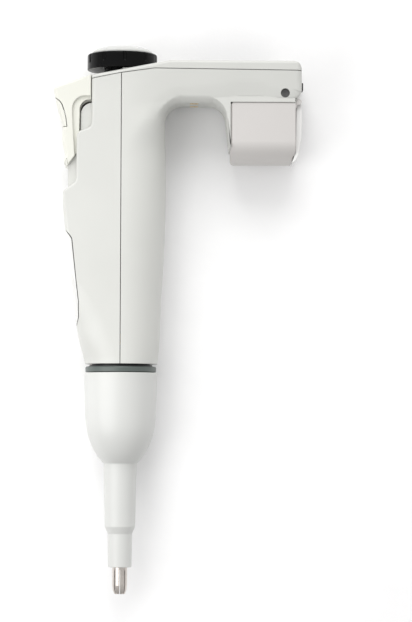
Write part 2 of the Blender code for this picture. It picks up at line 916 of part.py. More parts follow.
def ejector_slider():
    slider = slider_form("ejector_slider")
    join(slider, ejector_web())
    hollow = box_outline(RAIL_BACK - GAP, 180.0, -17.0, 189.9)
    cut(slider, prism("web_end", hollow, -WEB_HALF - 1, WEB_HALF + 1))
    cut(slider, rail_slot("slot_left", -1), rail_slot("slot_right", 1))
    join(slider, prism("tongue", box_outline(-18.5, 190.0, -10.2, 196.0), -2.5, 2.5))
    cut(slider, rod("tongue_hole", ROD_RADIUS + 0.15, 180, 195.8, x=ROD_X))
    cut(slider, prism("thumb_recess", thumb_outline(GAP / 2), -30, 30))
    return paint(slider, CREAM)


def ejector_thumb_pad():
    pad = slider_form("ejector_thumb_pad")
    keep_inside(pad, prism("thumb_region", thumb_outline(-GAP / 2), -30, 30))
    return paint(pad, CREAM)


def ejector_rod():
    return paint(rod("ejector_rod", ROD_RADIUS, 82.8, 195.5, x=ROD_X), STEEL)


def ejector_spring():
    return paint(coil("ejector_spring", 2.2, 0.5, 165.9, 189.7, 9, x=ROD_X), STEEL)


def sleeve_carrier():
    """Ring that joins the ejector rod to the sleeve."""
    ring = rod("sleeve_carrier", 14.0, 82.5, 85.2, segments=48, bore=9.8)
    cut(ring, rod("carrier_hole", ROD_RADIUS + 0.15, 80, 90, x=ROD_X))
    return paint(ring, STEEL)


def ejector_sleeve():
    """Bell and stepped tube, one moulding of revolution."""
    outer = [
        (5.15, 11.7),
        (5.35, 26.2),
        (6.6, 29.3),
        (7.3, 56.9),
        (8.2, 57.7),
        (10.4, 60.6),
        (12.5, 64.6),
        (14.3, 70.0),
        (15.4, 79.0),
        (15.9, 96.5),
    ]
    inner = [(14.3, 96.5), (14.0, 79.0), (11.2, 66.0), (9.0, 61.6), (5.3, 57.6), (5.2, 29.5), (3.75, 27.4), (3.7, 11.7)]
    return paint(turned("ejector_sleeve", outer + inner, segments=40), WHITE)


def colour_ring():
    profile = [(14.2, 96.8), (15.4, 96.8), (15.5, 98.4), (14.9, 99.2), (14.2, 99.2)]
    return paint(turned("colour_ring", profile, segments=48), RING_GREY)


# ---------------------------------------------------------------- battery pack and latch


def pack_outline():
    corners = [
        (PACK_LEFT, PACK_BOTTOM, 2.0),
        (74.0, PACK_BOTTOM, 1.5),
        (PACK_RIGHT, 192.5, 6.0),
        (PACK_RIGHT, PACK_TOP, 0),
        (PACK_LEFT, PACK_TOP, 1.5),
    ]
    return rounded(corners)


def pack_inset(point, inward, z):
    """The pack curls in below and is softly rounded on its inner side."""
    side = drawn_in(z, PACK_HALF, 3.4, 5.0)
    under = drawn_in(z, PACK_HALF, 9.5, 12.8)
    brow = drawn_in(z, PACK_HALF, 0.6, 0.8)
    x = max(point.x, PACK_LEFT + side)
    y = min(max(point.y, PACK_BOTTOM + under), PACK_TOP - brow)
    return Vector((x, y))


def latch_ear(name, side):
    """Hinge ear that stands out of the pack's end beside the latch."""
    x, y = LATCH_PIVOT
    eye = [(x + 1.25 * math.cos(a), y + 1.25 * math.sin(a), 0) for a in spread(-0.6 * math.pi, 0.75 * math.pi, 9)]
    neck = [(PACK_RIGHT + 0.1, PACK_TOP - 0.3, 0), (PACK_RIGHT - 1.1, PACK_TOP - 1.5, 0)]
    outline = rounded([*eye, *neck, (PACK_RIGHT - 1.1, 209.4, 0)])
    low, high = sorted((side * 10.6, side * 12.05))
    return prism(name, outline, low, high)


def battery_pack():
    """Casing of the removable pack, open at the top where its contacts are."""
    casing = pillow("battery_pack", pack_outline(), PACK_HALF, pack_inset)
    cut(casing, prism("cell_bay", box_outline(50.2, 191.0, 73.6, 211.8, 1.0), -9.6, 9.6))
    join(casing, latch_ear("ear_left", -1), latch_ear("ear_right", 1))
    cut(casing, prism("latch_pin_hole", circle(*LATCH_PIVOT, 0.7, 12), -11.6, 11.6))
    cut(casing, slab("pack_mouth", box_outline(57.0, -7.5, 63.0, 7.5), 210, 216))
    return paint(casing, GREY)


def battery_cell():
    """Flat rechargeable cell inside the pack."""
    cell = prism("battery_cell", box_outline(50.6, 191.4, 73.2, 208.0, 2.0), -9.2, 9.2)
    return paint(cell, CELL)


def pack_contacts():
    for name, z in (("pack_contact_1", -5.0), ("pack_contact_2", 5.0)):
        paint(slab(name, box_outline(58.0, z - 1.8, 62.0, z + 1.8), 208.4, 213.3), GOLD)


def battery_terminals():
    for name, z in (("battery_terminal_1", -5.0), ("battery_terminal_2", 5.0)):
        paint(rod(name, 0.8, 213.6, 219.6, x=60, z=z, segments=12), GOLD)


def pack_latch():
    """Flap at the end of the pack, hung on a pin under the end of the arm."""
    x, y = LATCH_PIVOT
    knuckle = [(x + math.cos(a), y + math.sin(a), 0) for a in spread(0, math.pi, 7)]
    corners = [
        (PACK_RIGHT + GAP, 192.6, 6.0),
        (74.5, 188.3, 0),
        (75.2, 188.4, 0),
        (76.9, 190.6, 3.0),
        (78.3, 197.0, 12.0),
        (78.8, 206.0, 20.0),
        (78.5, 212.6, 3.0),
        *knuckle,
    ]
    flap = prism("pack_latch", rounded(corners), -10.3, 10.3)
    cut(flap, prism("latch_bore", circle(x, y, 0.65, 12), -12, 12))
    return paint(flap, WHITE)


def latch_pin():
    return paint(prism("latch_pin", circle(*LATCH_PIVOT, 0.5, 12), -11.4, 11.4), STEEL)


# ---------------------------------------------------------------- small parts on the arm


def charging_contacts():
    for name, z in (("charging_contact_1", -5.5), ("charging_contact_2", 5.5)):
        strip = slab(name, box_outline(30.0, z - 0.5, 33.4, z + 0.5), 214.3, 218.6)
        paint(strip, GOLD)


def arm_screws():
    """Case screws, each sunk in a side of the arm."""
    for name, side in (("arm_screw_1", -1), ("arm_screw_2", 1)):
        head = prism(name, circle(*SCREW_XY, 1.85), *sorted((side * 12.7, side * 13.3)))
        join(head, prism(f"{name}_shank", circle(*SCREW_XY, 1.0, 12), *sorted((side * 7.0, side * 13.0))))
        x, y = SCREW_XY
        socket = prism(f"{name}_socket", circle(x, y, 0.9, 6), *sorted((side * 12.9, side * 16)))
        cut(head, socket)
        paint(head, STEEL)


def charging_socket():
    socket = crossbar("charging_socket", box_outline(221.3, -4.4, 224.2, 4.4, 1.0), 68.5, 75.6)
    return paint(socket, STEEL)


def port_plug():
    """Soft plug that closes the charging port at the end of the arm."""
    plug = crossbar("port_plug", box_outline(220.9, -4.5, 224.1, 4.5, 1.0), 76.0, 79.5)
    return paint(plug, RUBBER)


def main():
    rear_housing()
    rear_grip_inlay()
    front_housing()
    top_cover()
    display_window()
    display_module()
    main_board()
    selector_ring()
    encoder_ring()
    operating_button()
    button_plunger()
    button_spring()
    button_switch()
    motor()
    motor_bracket()
    lead_screw()
    guide_rods()
    piston_carriage()
    piston()
    coupling_collar()
    cylinder()
    piston_seal()
    seal_retainer()
    nozzle()
    ejector_slider()
    ejector_thumb_pad()
    ejector_rod()
    ejector_spring()
    sleeve_carrier()
    ejector_sleeve()
    colour_ring()
    battery_pack()
    battery_cell()
    pack_contacts()
    battery_terminals()
    pack_latch()
    latch_pin()
    charging_contacts()
    arm_screws()
    charging_socket()
    port_plug()


main()
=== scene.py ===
"""Single-channel electronic pipette, lying on its flat side on a white table.

Shapes are drawn in millimetres in the pipette's own datum: X = 0 and Z = 0 on the nozzle axis,
Y = 0 at the nozzle's end, +Y towards the operating button. add_object() and row_point() carry them into
the frame.
"""

import math

import bmesh
import bpy
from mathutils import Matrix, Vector


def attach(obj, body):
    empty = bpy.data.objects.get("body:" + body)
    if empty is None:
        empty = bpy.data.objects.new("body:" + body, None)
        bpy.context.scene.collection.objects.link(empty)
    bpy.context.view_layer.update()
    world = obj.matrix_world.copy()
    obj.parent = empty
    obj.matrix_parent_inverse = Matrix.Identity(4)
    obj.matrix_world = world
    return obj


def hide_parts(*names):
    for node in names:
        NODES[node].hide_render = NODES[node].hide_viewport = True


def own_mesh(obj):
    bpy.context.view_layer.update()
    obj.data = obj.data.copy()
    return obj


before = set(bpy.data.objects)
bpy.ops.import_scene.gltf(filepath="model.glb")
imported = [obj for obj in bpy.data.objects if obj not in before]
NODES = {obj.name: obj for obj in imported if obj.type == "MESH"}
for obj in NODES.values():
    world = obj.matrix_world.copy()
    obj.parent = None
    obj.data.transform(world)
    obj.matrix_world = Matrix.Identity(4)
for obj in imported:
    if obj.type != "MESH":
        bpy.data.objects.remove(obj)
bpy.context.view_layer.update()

MM = 0.001
HALF_DEPTH = 16.2
DATUM = Vector((-24.83, -120.15, HALF_DEPTH))
FAR = 30.0  # past either side of the pipette, for tools that cut right through
GAP = 0.3
WALL = 2.2
CAVITY_HALF = HALF_DEPTH - WALL
HOUSING_BOTTOM = 100.3
HEAD_BACK = -12.9
SLIT_PAIRS = 4
SLIT_HALF = 0.2
SLIT_TOP_Y = 10.5
ARM_END = 78.5
SADDLE_Y = 214.5
ARM_UNDERSIDE_Y = 215.9
ARM_LEAN = 0.15  # how far the arm's sides lean inwards, per millimetre below the cover
LEAN_TOP_Y = 228.3
LEAN_X = (1, 24)
LEAN_Y = (203, 214)
LEAN_Z = (13.9, HALF_DEPTH)
COVER_TOP_Y = 232.4
COVER_BACK_Y = 225.9
COVER_SLOPE_END = 21.2
DIAL_FLOOR_Y = 229.3
RING_RADIUS = 15.3
RING_TOP_Y = 236.5
NOTCH_COUNT = 10
NOTCH_PHASE = 84.5
NOTCH_RADIUS = 0.95
NOTCH_CENTRE = 15.72
NOTCH_FOOT_Y = 232.0
BUTTON_RADIUS = 13.4
EJECT_TRAVEL = 9.5
ROD_X = -12.2
WEB_HALF = 10.1
RAIL_INNER = 10.4
RAIL_OUTER = 12.1
FLANGE_INNER = 12.4
SLIDER_HALF = 15.0
RAIL_BACK = -23.1
PACK_LEFT = 47.9
PACK_RIGHT = 75.9
PACK_TOP = 214.1
PACK_BOTTOM = 188.0
PACK_HALF = 13.3
PACK_SNUG = 0.25  # how much closer than its CAD solid the pack sits in its rim
RIM_HALF = 13.8
LATCH_PIVOT = (77.3, 214.7)
LATCH_HALF = 10.3
SCREW_XY = (71.3, 218.35)
FRONT_KEYS = (
    (96, 15.3),
    (101, 16.1),
    (109, 16.8),
    (129, 17.6),
    (152, 18.9),
    (183, 19.4),
    (206, 18.9),
)
BACK_KEYS = (
    (96, -15.2),
    (101, -15.7),
    (110, -18.0),
    (124, -20.3),
    (138, -22.0),
    (158, -24.3),
    (168, -25.1),
    (175, -25.1),
)
SEAM = ((-13.2, 223.9), (0.0, 226.6), (14.3, 228.6), (78.8, 227.9))


# ---------------------------------------------------------------- curves and outlines


def ramp(value, start, end):
    """0 before start, 1 after end, straight between them."""
    return min(1.0, max(0.0, (value - start) / (end - start)))


def mix(a, b, share):
    return a + (b - a) * share


def ease(t):
    """Straight 0-1 run made soft at both ends."""
    return t * t * (3 - 2 * t)


def spread(start, end, count):
    return [mix(start, end, i / (count - 1)) for i in range(count)]


def along(keys, at):
    """Smooth value at a position through (position, value) keys."""
    last = len(keys) - 1
    i = min(last - 1, sum(1 for key in keys[1:] if key[0] <= at))

    def slope(k):
        a, b = keys[max(0, k - 1)], keys[min(last, k + 1)]
        return (b[1] - a[1]) / (b[0] - a[0])

    (t0, v0), (t1, v1) = keys[i], keys[i + 1]
    span = t1 - t0
    t = (at - t0) / span
    bend = (t**3 - 2 * t * t + t) * slope(i) + (t**3 - t * t) * slope(i + 1)
    return mix(v0, v1, 3 * t * t - 2 * t**3) + bend * span


def seam_y(x):
    """Height of the seam between the housings and the top cover."""
    for (x0, y0), (x1, y1) in zip(SEAM, SEAM[1:]):
        if x <= x1:
            return mix(y0, y1, (x - x0) / (x1 - x0))
    return SEAM[-1][1]


def rounded(corners, step=6.0):
    """Closed outline from (x, y, radius) corners; a radius becomes an arc."""
    outline = []
    for i, (x, y, radius) in enumerate(corners):
        here = Vector((x, y))
        if radius == 0:
            outline.append(here)
            continue
        back = (Vector(corners[i - 1][:2]) - here).normalized()
        ahead = (Vector(corners[(i + 1) % len(corners)][:2]) - here).normalized()
        half = back.angle(ahead) / 2
        centre = here + (back + ahead).normalized() * radius / math.sin(half)
        start = here + back * radius / math.tan(half) - centre
        turn = start.angle_signed(here + ahead * radius / math.tan(half) - centre)
        steps = max(1, round(abs(math.degrees(turn)) / step))
        for k in range(steps + 1):
            angle = -turn * k / steps
            c, s = math.cos(angle), math.sin(angle)
            outline.append(centre + Vector((start.x * c - start.y * s, start.x * s + start.y * c)))
    return outline


def either_side(side, inner, outer):
    """(low, high) along Z of a span on one side of the pipette; side is -1 or 1."""
    return sorted((side * inner, side * outer))


def circle(x, y, radius, count=48):
    turns = [2 * math.pi * i / count for i in range(count)]
    return [Vector((x + radius * math.cos(a), y + radius * math.sin(a))) for a in turns]


def box_outline(x0, y0, x1, y1, radius=0.0):
    return rounded([(x0, y0, radius), (x1, y0, radius), (x1, y1, radius), (x0, y1, radius)])


# ---------------------------------------------------------------- solids

MERGE = 0.0005


def add_object(name, bm):
    """Object from a closed bmesh in datum millimetres, carried into the row frame."""
    bmesh.ops.remove_doubles(bm, verts=bm.verts, dist=MERGE)
    bmesh.ops.recalc_face_normals(bm, faces=bm.faces)
    if bm.calc_volume(signed=True) < 0:
        bmesh.ops.reverse_faces(bm, faces=bm.faces)
    bmesh.ops.translate(bm, vec=DATUM, verts=bm.verts)
    bmesh.ops.scale(bm, vec=(MM, MM, MM), verts=bm.verts)
    mesh = bpy.data.meshes.new(name)
    bm.to_mesh(mesh)
    bm.free()
    obj = bpy.data.objects.new(name, mesh)
    bpy.context.scene.collection.objects.link(obj)
    return obj


def bridge(bm, rings):
    """Skin over rings of vertices, closed at both ends."""
    count = len(rings[0])
    for low, high in zip(rings, rings[1:]):
        for i in range(count):
            j = (i + 1) % count
            bm.faces.new((low[i], low[j], high[j], high[i]))
    bm.faces.new(rings[0][::-1])
    bm.faces.new(rings[-1])


def prism(name, outline, z0, z1):
    """XY outline drawn out along Z."""
    bm = bmesh.new()
    bridge(bm, [[bm.verts.new((p.x, p.y, z)) for p in outline] for z in (z0, z1)])
    return add_object(name, bm)


def slab(name, outline, y0, y1):
    """XZ outline drawn out along Y."""
    bm = bmesh.new()
    bridge(bm, [[bm.verts.new((p.x, y, p.y)) for p in outline] for y in (y1, y0)])
    return add_object(name, bm)


def crossbar(name, outline, x0, x1):
    """YZ outline drawn out along X."""
    bm = bmesh.new()
    bridge(bm, [[bm.verts.new((x, p.x, p.y)) for p in outline] for x in (x0, x1)])
    return add_object(name, bm)


def pillow(name, outline, half, inset, levels=16):
    """Outline drawn out to +-half along Z, drawn in by inset(point, inward, z) near the sides."""
    count = len(outline)
    inward = []
    for i in range(count):
        run = (outline[(i + 1) % count] - outline[i - 1]).normalized()
        inward.append(Vector((-run.y, run.x)))
    heights = [half * math.sin(math.pi / 2 * k / levels) for k in range(-levels, levels + 1)]
    bm = bmesh.new()
    rings = []
    for z in heights:
        moved = [inset(p, n, abs(z)) for p, n in zip(outline, inward)]
        rings.append([bm.verts.new((p.x, p.y, z)) for p in moved])
    bridge(bm, rings)
    return add_object(name, bm)


def soft_prism(name, outline, half, radius):
    """Prism about Z = 0 with rounded edges."""

    def inset(point, inward, z):
        return point + inward * drawn_in(z, half, radius, radius)

    return pillow(name, outline, half, inset, levels=24)


def drawn_in(z, half, reach, depth):
    """Quarter ellipse: how far a side comes in at a height z, over the last depth before half."""
    share = ramp(z, half - depth, half)
    return reach * (1 - math.sqrt(1 - share * share))


def turned(name, profile, x=0.0, z=0.0, segments=96):
    """Closed (radius, y) profile turned about an axis along Y."""
    bm = bmesh.new()
    verts = [bm.verts.new((r, y, 0)) for r, y in profile]
    edges = [bm.edges.new((a, b)) for a, b in zip(verts, verts[1:] + verts[:1])]
    bmesh.ops.spin(
        bm,
        geom=verts + edges,
        cent=(0, 0, 0),
        axis=(0, 1, 0),
        angle=2 * math.pi,
        steps=segments,
        use_merge=True,
    )
    bmesh.ops.remove_doubles(bm, verts=bm.verts, dist=MERGE)
    stray = [e for e in bm.edges if not e.link_faces]
    bmesh.ops.delete(bm, geom=stray, context="EDGES")
    bmesh.ops.translate(bm, vec=(x, 0, z), verts=bm.verts)
    return add_object(name, bm)


def rod(name, radius, y0, y1, x=0.0, z=0.0, segments=48, bore=0.0):
    return turned(name, [(bore, y0), (radius, y0), (radius, y1), (bore, y1)], x, z, segments)


def boolean(target, tool, operation):
    modifier = target.modifiers.new(f"{operation.lower()} {tool.name}", "BOOLEAN")
    modifier.operation = operation
    modifier.solver = "EXACT"
    modifier.object = tool


def cut(target, *tools):
    for tool in tools:
        boolean(target, tool, "DIFFERENCE")


def join(target, *tools):
    for tool in tools:
        boolean(target, tool, "UNION")


def keep_inside(target, tool):
    boolean(target, tool, "INTERSECT")


def bake(obj):
    """Applies the Booleans and removes their tools."""
    bpy.context.view_layer.update()
    graph = bpy.context.evaluated_depsgraph_get()
    mesh = bpy.data.meshes.new_from_object(obj.evaluated_get(graph))
    tools = [m.object for m in obj.modifiers if m.type == "BOOLEAN"]
    obj.modifiers.clear()
    obj.data = mesh
    for tool in tools:
        bpy.data.objects.remove(tool, do_unlink=True)
    return obj


def smooth(obj, angle=32):
    """Smooth shading that keeps flat faces flat and edges crisp."""
    obj.data.shade_smooth()
    obj.data.set_sharp_from_angle(angle=math.radians(angle))
    weighted = obj.modifiers.new("weighted normals", "WEIGHTED_NORMAL")
    weighted.keep_sharp = True
    weighted.weight = 90
    return obj


def lean_arm_sides(obj):
    """Leans the arm's sides inwards below the cover, in one soft sweep."""
    bake(obj)
    bm = bmesh.new()
    bm.from_mesh(obj.data)
    cuts = [((x, 0, 0), (1, 0, 0)) for x in spread(LEAN_X[0], 26, 16)]
    cuts += [((0, y, 0), (0, 1, 0)) for y in spread(LEAN_Y[0], 228, 15)]
    for at, across in cuts:
        parts = bm.verts[:] + bm.edges[:] + bm.faces[:]
        bmesh.ops.bisect_plane(bm, geom=parts, dist=1e-7, plane_co=row_point(*at), plane_no=across)
    bmesh.ops.triangulate(bm, faces=bm.faces)
    for vertex in bm.verts:
        x, y, z = vertex.co / MM - DATUM
        below = max(0, LEAN_TOP_Y - max(y, LEAN_Y[1]))
        depth = ARM_LEAN * below * ease(ramp(x, *LEAN_X)) * ease(ramp(y, *LEAN_Y)) * ramp(abs(z), *LEAN_Z)
        vertex.co.z -= math.copysign(depth, z) * MM
    bm.to_mesh(obj.data)
    bm.free()


def place(obj, body, nodes, made, angle=32):
    """Bakes a piece, gives it its material, and hands it to the frame."""
    if any(m.type == "BOOLEAN" for m in obj.modifiers):
        bake(obj)
    smooth(obj, angle)
    obj.data.materials.clear()
    obj.data.materials.append(made)
    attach(obj, body)
    if nodes:
        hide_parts(*nodes)
    return obj


# ---------------------------------------------------------------- materials


GRAIN_EDGE = 0.00022
METAL_EDGE = 0.00012
NOISE_SPAN = (0.3, 0.7)  # where nearly all of a noise's values lie


class Look:
    """A node material with the few building blocks that all of them share."""

    def __init__(self, name, colour, roughness, metallic=0.0):
        self.made = bpy.data.materials.new(name)
        self.made.use_nodes = True
        self.tree = self.made.node_tree
        self.shader = self.tree.nodes["Principled BSDF"]
        self.place = self.tree.nodes.new("ShaderNodeTexCoord").outputs["Object"]
        self.set("Base Color", (*colour, 1))
        self.set("Roughness", roughness)
        self.set("Metallic", metallic)

    def set(self, socket, value):
        self.shader.inputs[socket].default_value = value

    def node(self, kind, **values):
        made = self.tree.nodes.new(kind)
        for name, value in values.items():
            if name in made.inputs:
                made.inputs[name].default_value = value
            else:
                setattr(made, name, value)
        return made

    def link(self, a, b):
        self.tree.links.new(a, b)

    def noise(self, scale, detail=3.0, stretch=(1, 1, 1)):
        mapping = self.node("ShaderNodeMapping")
        mapping.inputs["Scale"].default_value = stretch
        self.link(self.place, mapping.inputs["Vector"])
        made = self.node("ShaderNodeTexNoise", Scale=scale, Detail=detail)
        self.link(mapping.outputs["Vector"], made.inputs["Vector"])
        return made.outputs["Fac"]

    def band(self, source, low, high):
        """A noise's usual span remapped to low-high."""
        made = self.node("ShaderNodeMapRange")
        for i, value in enumerate((*NOISE_SPAN, low, high), start=1):
            made.inputs[i].default_value = value
        self.link(source, made.inputs[0])
        return made.outputs[0]

    def tint(self, source, dark, light):
        """Base colour between dark and light."""
        made = self.node("ShaderNodeMix", data_type="RGBA")
        made.inputs[6].default_value = (*dark, 1)
        made.inputs[7].default_value = (*light, 1)
        self.link(source, made.inputs[0])
        self.link(made.outputs[2], self.shader.inputs["Base Color"])

    def vary_roughness(self, source, low, high):
        self.link(self.band(source, low, high), self.shader.inputs["Roughness"])

    def relief(self, source, strength, distance=0.0001, edge=GRAIN_EDGE):
        """Bump over softly bevelled edges."""
        bump = self.node("ShaderNodeBump", Strength=strength, Distance=distance)
        self.link(source, bump.inputs["Height"])
        if edge:
            bevel = self.node("ShaderNodeBevel", samples=6, Radius=edge)
            self.link(bevel.outputs["Normal"], bump.inputs["Normal"])
        self.link(bump.outputs["Normal"], self.shader.inputs["Normal"])


def shade(colour, factor):
    return tuple(min(1.0, c * factor) for c in colour)


def plastic(name, colour, roughness, grain=0.12, coat=0.0, level=0.5):
    """Moulded plastic: spark-eroded grain, slight unevenness in tone and gloss."""
    look = Look(name, colour, roughness)
    look.set("IOR", 1.5)
    look.set("Specular IOR Level", level)
    if coat:
        look.set("Coat Weight", coat)
        look.set("Coat Roughness", 0.12)
    slow = look.noise(28, 2)
    look.tint(look.band(slow, 0, 1), shade(colour, 0.975), shade(colour, 1.015))
    look.vary_roughness(look.noise(160, 4), roughness - 0.05, roughness + 0.05)
    look.relief(look.noise(3800, 2), grain, 0.00004)
    return look.made


def metal(name, colour, roughness, stretch=(1, 40, 1)):
    """Turned or drawn metal, with fine lines round or along it."""
    look = Look(name, colour, roughness, 1.0)
    look.set("Anisotropic", 0.5)
    lines = look.noise(900, 4, stretch)
    look.vary_roughness(lines, roughness - 0.07, roughness + 0.1)
    look.tint(look.band(look.noise(220, 3), 0, 1), shade(colour, 0.9), shade(colour, 1.06))
    look.relief(lines, 0.15, 0.00003, METAL_EDGE)
    return look.made


WHITE = (0.585, 0.588, 0.560)
CREAM = (0.69, 0.69, 0.628)
PACK = (0.565, 0.545, 0.528)


def make_looks():
    looks = {
        "shell": plastic("moulded_shell", WHITE, 0.42),
        "cover": plastic("moulded_cover", shade(WHITE, 0.96), 0.40),
        "gloss": plastic("gloss_insert", (0.70, 0.70, 0.68), 0.18, 0.03, coat=0.4),
        "button": plastic("button_cap", (0.55, 0.555, 0.535), 0.3, 0.04, coat=0.1),
        "cream": plastic("ejector_moulding", CREAM, 0.38, 0.08),
        "sleeve": plastic("sleeve_moulding", (0.60, 0.604, 0.585), 0.34, 0.06),
        "pack": plastic("pack_moulding", PACK, 0.50),
        "latch": plastic("latch_moulding", (0.80, 0.795, 0.78), 0.40),
        "black": plastic("black_moulding", (0.0035, 0.0035, 0.0037), 0.24, 0.03, level=0.1),
        "collar": plastic("collar_moulding", (0.018, 0.018, 0.020), 0.40, 0.08),
        "ring": plastic("ring_moulding", (0.088, 0.106, 0.098), 0.38, 0.1),
        "inner": plastic("inner_moulding", (0.42, 0.41, 0.39), 0.5),
        "rubber": plastic("plug_rubber", (0.05, 0.05, 0.052), 0.72, 0.25),
        "steel": metal("nozzle_steel", (0.63, 0.585, 0.545), 0.27, (40, 1, 40)),
        "plate": metal("bright_steel", (0.62, 0.61, 0.60), 0.3, (20, 1, 1)),
        "dark_steel": metal("blackened_steel", (0.13, 0.13, 0.13), 0.4),
        "brass": metal("machined_brass", (0.72, 0.53, 0.24), 0.3),
        "gold": metal("gold_plate", (0.86, 0.62, 0.27), 0.26, (1, 1, 30)),
    }
    glass = Look("display_glass", (0.015, 0.018, 0.02), 0.08)
    glass.set("Coat Weight", 0.6)
    glass.vary_roughness(glass.noise(300, 3), 0.05, 0.12)
    glass.relief(glass.noise(60, 2), 0.02, 0.0001, 0.0002)
    looks["glass"] = glass.made
    board = Look("circuit_board", (0.02, 0.12, 0.06), 0.4)
    brick = board.node("ShaderNodeTexBrick", Scale=260.0)
    board.link(board.place, brick.inputs["Vector"])
    brick.inputs["Color1"].default_value = (0.015, 0.10, 0.05, 1)
    brick.inputs["Color2"].default_value = (0.02, 0.13, 0.065, 1)
    brick.inputs["Mortar"].default_value = (0.35, 0.28, 0.12, 1)
    board.link(brick.outputs["Color"], board.shader.inputs["Base Color"])
    board.relief(brick.outputs["Fac"], 0.2, 0.00005, 0.0001)
    looks["board"] = board.made
    looks["cell"] = plastic("cell_wrap", (0.07, 0.14, 0.34), 0.3, 0.05, coat=0.3)
    return looks


LOOKS = make_looks()


# ---------------------------------------------------------------- body form


# How far the rounding reaches in the side view, and how deep it goes along Z.
NECK_REACH, NECK_DEPTH = 15.2, 15.8
RECESS_REACH, RECESS_DEPTH = 7.0, 8.5
HEAD_TOP_Y = 236


def body_outline():
    front = [(along(FRONT_KEYS, y), y, 0) for y in spread(96, 203, 54)]
    back = [(along(BACK_KEYS, y), y, 0) for y in spread(171, 96, 38)]
    arm = [(x, ARM_UNDERSIDE_Y, 0) for x in spread(52, 74, 12)]
    corners = [
        *front,
        (18.9, SADDLE_Y, 8),
        (39, SADDLE_Y, 8),
        (50, ARM_UNDERSIDE_Y, 8),
        *arm,
        (ARM_END, ARM_UNDERSIDE_Y, 4),
        (ARM_END, HEAD_TOP_Y, 0),
        (HEAD_BACK, HEAD_TOP_Y, 0),
        (HEAD_BACK, 216, 0),
        (HEAD_BACK, 210, 0),
        (HEAD_BACK, 203.2, 2.5),
        (-19.4, 200.8, 3),
        (-19.4, 179.2, 3),
        (-25.1, 175.2, 1.5),
        *back,
    ]
    return rounded(corners)


def body_rounding(x, y):
    """(reach in the side view, depth along Z) of the rounding of the body's edge."""
    if x < 0:
        if y > 203:
            head = ramp(y, 207, 212)
            return mix(1.0, 1.6, head), mix(1.0, 1.8, head)
        grip = ramp(y, 174.5, 164)
        neck = ramp(y, 138, 101)
        reach = mix(mix(1.0, 1.8, grip), NECK_REACH, neck * (2 - neck))
        return reach, mix(mix(1.0, 4.0, grip), NECK_DEPTH, neck * neck)
    if x < 26 and y < SADDLE_Y - 0.01:
        recess = ease(ramp(y, 192, SADDLE_Y))
        reach = mix(mix(NECK_REACH, 18.4, ramp(y, 100, 135)), RECESS_REACH, recess)
        return reach, mix(NECK_DEPTH, RECESS_DEPTH, recess)
    if y < 219:
        arm = ease(ramp(x, 26, 50))
        end = ease(ramp(x, 61, 71))
        reach = mix(mix(RECESS_REACH, 8.5, arm), 4.2, end)
        return reach, mix(mix(RECESS_DEPTH, 4.4, arm), 3.6, end)
    return 2.5, 2.5


def level_inward(point, inward):
    """At the neck and the top the outline comes straight in towards the axis."""
    if 115 < point.y < 235:
        return inward
    return Vector((-math.copysign(1, point.x), 0))


def body_inset(point, inward, z):
    reach, depth = body_rounding(point.x, point.y)
    reach = min(reach, abs(point.x) - 0.6)
    return point + level_inward(point, inward) * drawn_in(z, HALF_DEPTH, reach, depth)


def cavity_outline():
    front = [(along(FRONT_KEYS, y) - WALL, y, 0) for y in spread(113.5, 203, 8)]
    corners = [
        (-15.0, 113.5, 0),
        *front,
        (16.7, SADDLE_Y + WALL, 8),
        (40, SADDLE_Y + WALL, 6),
        (50, 218.3, 6),
        (ARM_END - WALL, 218.3, 3),
        (ARM_END - WALL, HEAD_TOP_Y, 0),
        (-11.0, HEAD_TOP_Y, 0),
        (-11.0, 203.4, 1),
        (-15.6, 200.4, 1),
        (-15.6, 176, 0),
        (-16.4, 160, 0),
        (-16.0, 120, 0),
    ]
    return rounded(corners, step=30)


def cavity_inset(point, inward, z):
    if point.x < 0 and point.y > 174:
        reach, depth = 0.9, 2.0
    elif point.x < 0:
        reach, depth = 3.0, 6.0
    elif point.x < 25 and point.y < SADDLE_Y:
        recess = ramp(point.y, 203, SADDLE_Y)
        reach, depth = mix(15.0, 4.0, recess), mix(13.6, 6.0, recess)
    else:
        reach, depth = 2.5, 2.5
    return point + level_inward(point, inward) * drawn_in(z, CAVITY_HALF, reach, depth)


def make_cavity(name):
    return pillow(name, cavity_outline(), CAVITY_HALF, cavity_inset, levels=4)


def lower_bore(name):
    return rod(name, 13.1, 90, 115, segments=72)


# ---------------------------------------------------------------- rear housing


def rear_region():
    points = [
        (-40, HOUSING_BOTTOM),
        (-GAP / 2, HOUSING_BOTTOM),
        (-GAP / 2, seam_y(0)),
        (-40, seam_y(-40)),
    ]
    return prism("rear_region", [Vector(p) for p in points], -FAR, FAR)


def rail(name, side):
    corners = [
        (-17.5, 176.0, 0),
        (-17.5, 200.6, 0),
        (-12.0, 203.2, 0),
        (-12.0, 213.9, 0),
        (-17.6, 213.9, 5),
        (-17.6, 200.0, 0),
        (RAIL_BACK, 198.0, 0),
        (RAIL_BACK, 176.0, 0),
    ]
    return prism(name, rounded(corners), *either_side(side, RAIL_INNER - 0.2, RAIL_OUTER))


def ejector_channel():
    corners = [
        (-17.3, 178.4, 0),
        (-17.3, 202.6, 0),
        (-12.75, 202.6, 0),
        (-12.75, 240.0, 0),
        (-40.0, 240.0, 0),
        (-40.0, 178.4, 0),
    ]
    return prism("ejector_channel", rounded(corners), -RAIL_INNER, RAIL_INNER)


def inlay_outline(grow):
    edge = [
        (-25.0, 159.3 + grow, 0),
        (-21.2 + grow, 154.6 + grow, 3),
        (-19.3 + grow, 137.0, 0),
        (-18.2 + grow, 127.0, 0),
        (-18.2 + grow, 120.2, 0),
        (-19.6, 114.6 - grow, 0),
        (-30.0, 114.6 - grow, 0),
        (-30.0, 159.3 + grow, 0),
    ]
    return rounded(edge[::-1])


def body_pillow(name):
    return pillow(name, body_outline(), HALF_DEPTH, body_inset)


